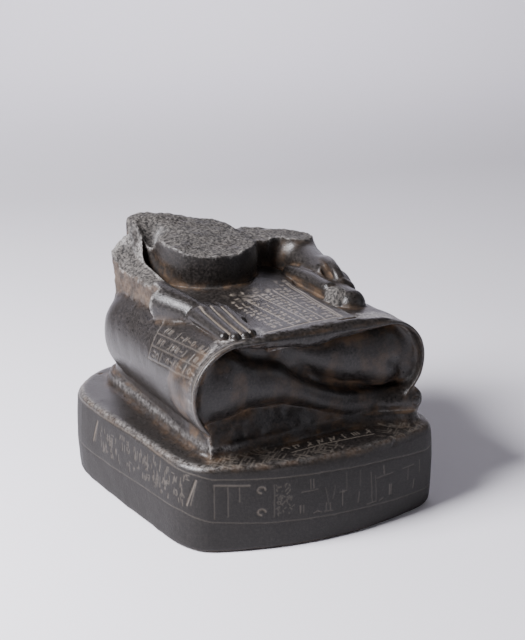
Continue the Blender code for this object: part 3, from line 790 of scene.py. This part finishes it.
def surface_nets(values, axes):
    """One point in each grid cell that the surface crosses, at the mean of its edge crossings, and one
    quad round each grid edge that the surface crosses."""
    inside = values < 0
    size = np.array(values.shape)
    count = np.zeros(size - 1, np.int8)
    corners = np.array([(a, b, c) for a in (0, 1) for b in (0, 1) for c in (0, 1)])
    for a, b, c in corners:
        count += inside[a:size[0] - 1 + a, b:size[1] - 1 + b, c:size[2] - 1 + c]
    crossed = (count > 0) & (count < 8)
    cells = np.argwhere(crossed)
    number = np.full(crossed.shape, -1, np.int32)
    number[crossed] = np.arange(len(cells))
    total, hits = np.zeros((len(cells), 3)), np.zeros(len(cells))
    for i, first in enumerate(corners):
        for second in corners[i + 1:]:
            if np.abs(second - first).sum() != 1:
                continue
            a, b = values[tuple((cells + first).T)], values[tuple((cells + second).T)]
            cut = (a < 0) != (b < 0)
            t = (a[cut] / (a[cut] - b[cut]))[:, None]
            total[cut] += first + t * (second - first)
            hits[cut] += 1
    step = axes[0][1] - axes[0][0]
    points = (cells + total / hits[:, None]) * step + np.array([a[0] for a in axes])
    quads = []
    for axis, (u, v) in enumerate(((1, 2), (2, 0), (0, 1))):
        here, there = [slice(1, -1)] * 3, [slice(1, -1)] * 3
        here[axis], there[axis] = slice(0, -1), slice(1, None)
        solid = inside[tuple(here)]
        place = np.argwhere(solid != inside[tuple(there)])
        outward = solid[tuple(place.T)]
        place += 1
        place[:, axis] -= 1
        across, up = np.eye(3, dtype=int)[u], np.eye(3, dtype=int)[v]
        ring = (place - across - up, place - up, place, place - across)
        quad = np.stack([number[tuple(corner.T)] for corner in ring], 1)
        quad[~outward] = quad[~outward][:, ::-1]
        quads.append(quad)
    return points, np.concatenate(quads)


def slope(field, p, reach=0.6):
    """Unit gradient of the field: the outward normal."""
    offsets = np.eye(3, dtype=np.float32) * reach
    g = np.stack([in_blocks(field, p + o) - in_blocks(field, p - o) for o in offsets], -1)
    return g / np.maximum(np.linalg.norm(g, axis=1, keepdims=True), 1e-6)


def linked(name, data):
    """New object for some data, linked to the scene."""
    thing = bpy.data.objects.new(name, data)
    bpy.context.collection.objects.link(thing)
    return thing


def mesh_from(name, points, faces):
    """Mesh object at the world origin; points in metres, faces all of one size."""
    mesh = bpy.data.meshes.new(name)
    sides = faces.shape[1]
    mesh.vertices.add(len(points))
    mesh.vertices.foreach_set("co", points.astype(np.float32).ravel())
    mesh.loops.add(faces.size)
    mesh.loops.foreach_set("vertex_index", faces.astype(np.int32).ravel())
    mesh.polygons.add(len(faces))
    mesh.polygons.foreach_set("loop_start", np.arange(0, faces.size, sides, dtype=np.int32))
    mesh.update(calc_edges=True)
    mesh.validate()
    return linked(name, mesh)


def shade_smooth(thing):
    thing.data.polygons.foreach_set("use_smooth", np.ones(len(thing.data.polygons), bool))


def thinned(thing, triangles):
    """Collapse the surface to a triangle budget, keeping detail where it bends most."""
    modifier = thing.modifiers.new("Thin", "DECIMATE")
    modifier.ratio = min(1.0, triangles / (2.0 * len(thing.data.polygons)))
    modifier.use_collapse_triangulate = True
    with bpy.context.temp_override(object=thing, active_object=thing, selected_objects=[thing]):
        bpy.ops.object.modifier_apply(modifier=modifier.name)


def paint(thing, name, values):
    """Store one number from 0 to 1 for each vertex."""
    layer = thing.data.attributes.new(name, "FLOAT", "POINT")
    layer.data.foreach_set("value", unit(values).astype(np.float32))


def vertices_of(thing):
    """Vertex places in the figure's frame, in millimetres."""
    flat = np.empty(3 * len(thing.data.vertices), np.float32)
    thing.data.vertices.foreach_get("co", flat)
    return flat.reshape(-1, 3) * 1000.0 - np.array(FIGURE_ORIGIN, np.float32)


# How far from the surface the finish reads the field, in millimetres
CREASE_REACH = 3.0
HOLLOW_REACH = 12.0
EDGE_REACH = 4.0


def finish_values(statue):
    """Numbers for the finish at each vertex. Dust lies where the field rises more slowly than the distance
    from the surface, edges are where it falls more slowly inwards. Breaks and signs are known by their
    place, and so are scuffs with a painted highlight on the plinth's left rim and on the mat's ridge."""
    p = vertices_of(statue)
    outward = slope(stone_field, p).astype(np.float32)

    def short_of(reach):
        """Share by which the field falls short of the way gone along the normal."""
        return unit(1.0 - in_blocks(stone_field, p + reach * outward) / reach)
    near, wide, edge = short_of(CREASE_REACH), short_of(HOLLOW_REACH), short_of(-EDGE_REACH)
    x, y, z = p.T
    top = np.exp(-((z - break_height(x, y)) / 2.0) ** 2) * (y > 20.0) * ramp((outward[:, 2] - 0.1) / 0.4)
    elbow = np.exp(-(elbow_shear(p) / 1.4) ** 2) * (y > STUMP_FRONT - 2.0) * (z > 96.0) * (x < -76.0)
    thumb = ramp(1.5 - np.abs(lump(p, *CHIPPED)))
    rim = (y < -98.0) * (z > 14.0)
    side = PLINTH_PLAN.distance(x, y)
    # Plinth's rounded top rim: scuffs and a painted highlight, strongest on the figure's right, towards the
    # key light
    rim_scuff_and_highlight = np.exp(-((side + 5.0) / 3.5) ** 2) * np.exp(-((z + 1.5) / 2.5) ** 2)
    rim_scuff_and_highlight = rim_scuff_and_highlight * (0.35 + 0.65 * ramp((-80.0 - x) / 20.0))
    # Mat's ridge on the figure's right: a pale scuffed band with a painted highlight
    ridge = np.exp(-((z - 8.0) / 3.5) ** 2) * ramp((-52.0 - x) / 20.0)
    ridge = ridge * ramp((MAT_PLAN.distance(x, y) + 6.0) / 4.0) * (y < 110.0)
    recess = (y < -55.0) * (y > -98.0) * (z > 2.0) * (z < 104.0) * ramp((noise(p, 15.0, 97) + 0.25) / 0.5)
    thigh = (x < -30.0) * (z > 20.0) * (np.abs(kilt_form(p)) < 2.5)
    signs = (0.3 * PLINTH_SHEET.read(PLINTH_PLAN.place_along(x, y), z) * (z < -1.0)
             + 0.6 * LEDGE_SHEET.read(x, y) * (np.abs(z) < 2.5)
             + 0.3 * THIGH_SHEET.read(*thigh_place(p)) * thigh
             + 1.2 * PAPYRUS_SHEET.read(x, y) * (np.abs(z - SHEET_TOP) < 3.0) * (outward[:, 2] > 0.6)
             + 0.8 * finger_lines(x, y) * (z > 112.0) * (y < -28.0) * (x < -40.0))
    hand = ramp((z - 108.0) / 3.0) * (y < -22.0) * (x < -36.0)
    dust = (1.0 - 0.7 * hand) * unit(1.1 * near + 0.9 * wide - 0.15 + 0.6 * recess)
    # Pale worn edges, plus the scuffs and painted highlight of the plinth's rim and the mat's ridge
    wear = ramp((edge - 0.25) / 0.5) * (1.0 - 0.85 * rim) + 0.75 * rim_scuff_and_highlight + 0.5 * ridge
    paint(statue, "broken", top + elbow + thumb)
    paint(statue, "earthy", elbow * (z < 132.0))
    paint(statue, "dust", dust * (1.0 - unit(top + thumb + ridge)))
    # The wear attribute also carries the painted highlight of the plinth's rim and the mat's ridge
    paint(statue, "wear", wear)
    paint(statue, "sign", signs / 0.5)


# Materials
def linear(code):
    """Linear colour from a hex sRGB code."""
    values = [int(code[i:i + 2], 16) / 255.0 for i in (1, 3, 5)]
    return [v / 12.92 if v <= 0.04045 else ((v + 0.055) / 1.055) ** 2.4 for v in values] + [1.0]


class Shader:
    """Small helper: adds nodes to a material and joins them by socket name."""

    def __init__(self, name):
        self.material = bpy.data.materials.new(name)
        self.material.use_nodes = True
        self.tree = self.material.node_tree
        self.bsdf = self.tree.nodes["Principled BSDF"]

    def add(self, kind, **inputs):
        """Add a node; a value may be a number, a colour or another node's output socket. A name that
        starts with an underscore is a property of the node, and i with a number an input by its place."""
        node = self.tree.nodes.new("ShaderNode" + kind)
        for key, value in inputs.items():
            if key.startswith("_"):
                setattr(node, key[1:], value)
            else:
                self.join(node.inputs[int(key[1:]) if key[1:].isdigit() else key], value)
        return node

    def join(self, socket, value):
        if isinstance(value, bpy.types.NodeSocket):
            self.tree.links.new(value, socket)
        else:
            socket.default_value = value

    def attribute(self, name):
        return self.add("Attribute", _attribute_name=name).outputs["Fac"]

    def noise(self, size_mm, detail=3.0, rough=0.55):
        """Noise whose largest features are about size_mm across."""
        return self.add("TexNoise", Vector=self.place, Scale=1000.0 / size_mm, Detail=detail,
                        Roughness=rough).outputs["Fac"]

    def range(self, value, low, high, to_low=0.0, to_high=1.0):
        node = self.add("MapRange", Value=value)
        for key, number in (("From Min", low), ("From Max", high), ("To Min", to_low), ("To Max", to_high)):
            node.inputs[key].default_value = number
        return node.outputs["Result"]

    def math(self, operation, a, b=0.0):
        return self.add("Math", _operation=operation, i0=a, i1=b).outputs["Value"]

    def mix(self, share, a, b):
        """Colour a turning to colour b by share."""
        node = self.add("Mix", _data_type="RGBA")
        self.join(node.inputs["Factor"], share)
        self.join(node.inputs["A"], linear(a) if isinstance(a, str) else a)
        self.join(node.inputs["B"], linear(b) if isinstance(b, str) else b)
        return node.outputs["Result"]


# Colours as hex sRGB: the stone, its crystals first, then the earth on it and the stage
MICA, FELDSPAR, CLOUD = "#161413", "#2E2A28", "#1C1916"
BROKEN_MICA, BROKEN_FELDSPAR, BROKEN_GRAIN = "#1B1918", "#5B5753", "#2F2E2C"
# The pale grey of worn edges also paints a highlight along the plinth's top rim and the mat's ridge
UNPOLISHED, WORN_GREY_AND_HIGHLIGHT, SIGN = "#110E0C", "#8A8784", "#8C8378"
SOIL_DARK, SOIL_PALE = "#241D18", "#524439"
EARTH_DARK, EARTH_PALE = "#1E1813", "#4E3D2D"
PAPER, ROOM = "#E4E2E7", "#E9E7EE"
# Heights in metres between which the plinth's matt sides turn into the polished statue
PLINTH_RIM = (0.078, 0.086)


def granodiorite(dark, pale, dust_colour):
    """Dark granodiorite: the statue polished, the plinth's sides matt, granular grey where it broke. Its
    crystals of dark mica and pale feldspar are 1 to 3 mm across. Brown earth is left in the hollows, worn
    edges are pale, and the same pale grey paints a highlight on the plinth's top rim and the mat's ridge."""
    s = Shader("polished granodiorite")
    s.place = s.add("TexCoord").outputs["Object"]
    broken, earthy, dust, wear, sign = [
        s.attribute(name) for name in ("broken", "earthy", "dust", "wear", "sign")]
    crystals = s.noise(2.4, 2.0, 0.6)
    fine = s.noise(1.1, 2.0, 0.7)
    cloud = s.noise(38.0, 4.0, 0.6)
    stain = s.noise(15.0, 4.0, 0.65)
    polished = s.mix(s.range(crystals, 0.42, 0.68), dark, pale)
    polished = s.mix(s.range(cloud, 0.35, 0.7, 0.0, 0.5), polished, CLOUD)
    fracture = s.mix(s.range(crystals, 0.40, 0.62), BROKEN_MICA, BROKEN_FELDSPAR)
    fracture = s.mix(s.range(fine, 0.45, 0.75, 0.0, 0.7), fracture, BROKEN_GRAIN)
    height = s.add("SeparateXYZ", Vector=s.place).outputs["Z"]
    ground = s.range(height, *PLINTH_RIM, 1.0, 0.0)
    polished = s.mix(s.math("MULTIPLY", ground, 0.6), polished, UNPOLISHED)
    colour = s.mix(broken, polished, fracture)
    soiled = s.mix(s.range(stain, 0.35, 0.65), SOIL_DARK, SOIL_PALE)
    colour = s.mix(s.math("MULTIPLY", earthy, 0.75), colour, soiled)
    # Pale grey on worn edges, and a painted highlight on the plinth's rim and the mat's ridge
    wear_and_highlight_share = s.math("MULTIPLY", wear, s.range(s.noise(3.2, 4.0, 0.75), 0.40, 0.66))
    colour = s.mix(wear_and_highlight_share, colour, WORN_GREY_AND_HIGHLIGHT)
    earth = s.mix(s.range(stain, 0.38, 0.62), EARTH_DARK, dust_colour)
    colour = s.mix(s.math("MULTIPLY", dust, s.range(stain, 0.3, 0.6, 0.35, 0.95)), colour, earth)
    colour = s.mix(s.math("MULTIPLY", sign, 0.6), colour, SIGN)
    s.join(s.bsdf.inputs["Base Color"], colour)
    rough = s.range(crystals, 0.3, 0.7, 0.27, 0.41)
    for share, most in ((broken, 0.82), (dust, 0.85), (wear_and_highlight_share, 0.75), (ground, 0.62)):
        rough = s.math("MAXIMUM", rough, s.range(share, 0.0, 1.0, 0.0, most))
    s.join(s.bsdf.inputs["Roughness"], rough)
    s.bsdf.inputs["Specular IOR Level"].default_value = 0.34
    bump = s.add("Bump", Strength=0.35, Distance=0.0006, Height=s.math("ADD", crystals, fine))
    s.join(s.bsdf.inputs["Normal"], bump.outputs["Normal"])
    return s.material


def paper(colour):
    """Seamless studio paper, matt."""
    s = Shader("studio paper")
    s.bsdf.inputs["Base Color"].default_value = colour
    s.bsdf.inputs["Roughness"].default_value = 0.9
    return s.material


# Stage
LOOK = Vector((FIGURE_ORIGIN[0], FIGURE_ORIGIN[1], 0.0)) / 1000.0
AZIMUTH = -29.0
ELEVATION = 20.0
DISTANCE = 1400 / 990
FOCAL_PIXELS = 1400
LOOK_PIXEL = (249.5, 483.0)
SENSOR_WIDTH = 36.0
SWEEP_NEAR = -9.0
SWEEP_DEPTH = 2.2
SWEEP_BEND = 1.2
SWEEP_HEIGHT = 3.5
SWEEP_HALF_WIDTH = 4.0
ROOM_STRENGTH = 0.14
# Soft boxes: name, place, target, size and colour
KEY = ("Key", (-1.25, 0.0, 1.25), (0.0, 0.0, 0.1), (0.7, 0.7), "#FBFAFF")
FILL = ("Fill", (1.1, -1.0, 0.6), (0.0, 0.0, 0.1), (0.8, 0.8), "#F8F6FF")
BACKDROP = ("Backdrop", (0.5, 1.7, 2.0), (0.9, 3.9, 1.3), (2.4, 0.8), "#F8F5FF")


def camera_place():
    """Camera position and turn: the look point shows at its pixel, and the axis goes through the
    picture's middle."""
    az, el = math.radians(AZIMUTH), math.radians(ELEVATION)
    back = Vector((math.sin(az) * math.cos(el), -math.cos(az) * math.cos(el), math.sin(el)))
    right = Vector((math.cos(az), math.sin(az), 0.0))
    up = back.cross(right)
    across = (LOOK_PIXEL[0] - PHOTO_WIDTH / 2) / FOCAL_PIXELS
    rise = (PHOTO_HEIGHT / 2 - LOOK_PIXEL[1]) / FOCAL_PIXELS
    place = LOOK + DISTANCE * (back - right * across - up * rise)
    return place, Matrix((right, up, back)).transposed().to_4x4()


def make_camera():
    data = bpy.data.cameras.new("Camera")
    data.sensor_width = SENSOR_WIDTH
    data.lens = SENSOR_WIDTH * FOCAL_PIXELS / max(PHOTO_WIDTH, PHOTO_HEIGHT)
    thing = linked("Camera", data)
    place, turn = camera_place()
    thing.matrix_world = Matrix.Translation(place) @ turn
    bpy.context.scene.camera = thing


def area_light(name, place, target, size, colour, power):
    """Soft box pointed at a target; colour as hex sRGB, power in watts."""
    data = bpy.data.lights.new(name, "AREA")
    data.shape = "RECTANGLE"
    data.size, data.size_y = size
    data.energy = power
    data.color = linear(colour)[:3]
    place = Vector(place)
    turn = (place - Vector(target)).to_track_quat("Z", "Y").to_matrix().to_4x4()
    linked(name, data).matrix_world = Matrix.Translation(place) @ turn


def sweep(steps=24):
    """Floor that bends up into a backdrop: a quarter circle joins the flat to the upright."""
    turn = np.linspace(0.0, math.pi / 2, steps)
    end = SWEEP_DEPTH + SWEEP_BEND
    along = np.concatenate([[SWEEP_NEAR], SWEEP_DEPTH + SWEEP_BEND * np.sin(turn), [end]])
    rise = np.concatenate([[0.0], SWEEP_BEND - SWEEP_BEND * np.cos(turn), [SWEEP_HEIGHT]])
    az = math.radians(AZIMUTH)
    away = np.array([-math.sin(az), math.cos(az), 0.0])
    across = SWEEP_HALF_WIDTH * np.array([math.cos(az), math.sin(az), 0.0])
    edge = along[:, None] * away + rise[:, None] * np.array([0.0, 0.0, 1.0])
    points = np.concatenate([edge - across, edge + across])
    n = len(edge)
    i = np.arange(n - 1)
    return points, np.stack([i, i + n, i + n + 1, i + 1], 1)


# Add-on
def colour(name, description, code):
    """Colour setting with a hex sRGB default."""
    return bpy.props.FloatVectorProperty(name=name, description=description, default=linear(code),
                                         size=4, min=0.0, max=1.0, subtype="COLOR")


def power(name, description, watts):
    """Setting for the power of a light."""
    return bpy.props.FloatProperty(name=name, description=description, default=watts, min=0.0, unit="POWER")


class StatueSettings(bpy.types.PropertyGroup):
    grid: bpy.props.FloatProperty(name="Grid", description="Step of the sculpting grid in millimetres",
                                  default=GRID, min=0.6, max=4.0)
    triangles: bpy.props.IntProperty(name="Triangles", description="Triangle budget of the carved surface",
                                     default=TRIANGLES, min=20000, max=199000)
    stone: colour("Stone", "Dark crystals of the polished stone", MICA)
    feldspar: colour("Feldspar", "Pale crystals of the polished stone", FELDSPAR)
    earth: colour("Earth", "Palest earth left in the hollows", EARTH_PALE)


class StageSettings(bpy.types.PropertyGroup):
    key_power: power("Key light", "Power of the soft box at the upper left", 112.0)
    fill_power: power("Fill light", "Power of the weaker soft box at the right", 3.0)
    backdrop_power: power("Backdrop light", "Power of the soft box behind, turned to the backdrop", 95.0)
    paper: colour("Paper", "Floor and backdrop", PAPER)


class SCRIBE_OT_carve(bpy.types.Operator):
    """Sculpt the statue and its plinth as one surface and give it the stone's finish"""
    bl_idname = "scribe.carve"
    bl_label = "Carve statue"

    def execute(self, context):
        settings = context.scene.scribe_statue
        step = settings.grid
        values, axes = sample(stone_field, step)
        points, quads = surface_nets(values, axes)
        points = points + np.array(FIGURE_ORIGIN)
        points[points[:, 2] < FLAT_BELOW, 2] = 0.0
        statue = mesh_from("carved_scribe", points / 1000.0, quads)
        if not len(statue.data.polygons):
            raise RuntimeError("the field has no surface inside its grid")
        thinned(statue, settings.triangles)
        shade_smooth(statue)
        finish_values(statue)
        statue.data.materials.append(granodiorite(settings.stone, settings.feldspar, settings.earth))
        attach(statue, "root")
        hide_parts(NODE)
        return {"FINISHED"}


class SCRIBE_OT_stage(bpy.types.Operator):
    """Lay the pale sweep, hang the lights and set the camera"""
    bl_idname = "scribe.stage"
    bl_label = "Set stage"

    def execute(self, context):
        settings = context.scene.scribe_stage
        floor = mesh_from("studio_sweep", *sweep())
        shade_smooth(floor)
        floor.data.materials.append(paper(settings.paper))
        floor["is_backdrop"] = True
        world = bpy.data.worlds.new("Studio")
        world.use_nodes = True
        background = world.node_tree.nodes["Background"].inputs
        background["Color"].default_value = linear(ROOM)
        background["Strength"].default_value = ROOM_STRENGTH
        context.scene.world = world
        area_light(*KEY, settings.key_power)
        area_light(*FILL, settings.fill_power)
        area_light(*BACKDROP, settings.backdrop_power)
        make_camera()
        return {"FINISHED"}


class SCRIBE_PT_panel(bpy.types.Panel):
    bl_label = "Seated scribe"
    bl_idname = "SCRIBE_PT_panel"
    bl_space_type = "VIEW_3D"
    bl_region_type = "UI"
    bl_category = "Scribe"

    def draw(self, context):
        layout = self.layout
        for name in ("grid", "triangles", "stone", "feldspar", "earth"):
            layout.prop(context.scene.scribe_statue, name)
        layout.operator("scribe.carve")
        for name in ("key_power", "fill_power", "backdrop_power", "paper"):
            layout.prop(context.scene.scribe_stage, name)
        layout.operator("scribe.stage")


CLASSES = (StatueSettings, StageSettings, SCRIBE_OT_carve, SCRIBE_OT_stage, SCRIBE_PT_panel)


def register():
    for each in CLASSES:
        bpy.utils.register_class(each)
    bpy.types.Scene.scribe_statue = bpy.props.PointerProperty(type=StatueSettings)
    bpy.types.Scene.scribe_stage = bpy.props.PointerProperty(type=StageSettings)


def unregister():
    del bpy.types.Scene.scribe_stage
    del bpy.types.Scene.scribe_statue
    for each in reversed(CLASSES):
        bpy.utils.unregister_class(each)


def main():
    register()
    bpy.ops.scribe.carve()
    bpy.ops.scribe.stage()
    boxes = {"cad": CAD_BOX, "scene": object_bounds()}
    {key: [list(map(float, corner)) for corner in box] for key, box in boxes.items()}


if __name__ == "__main__":
    main()
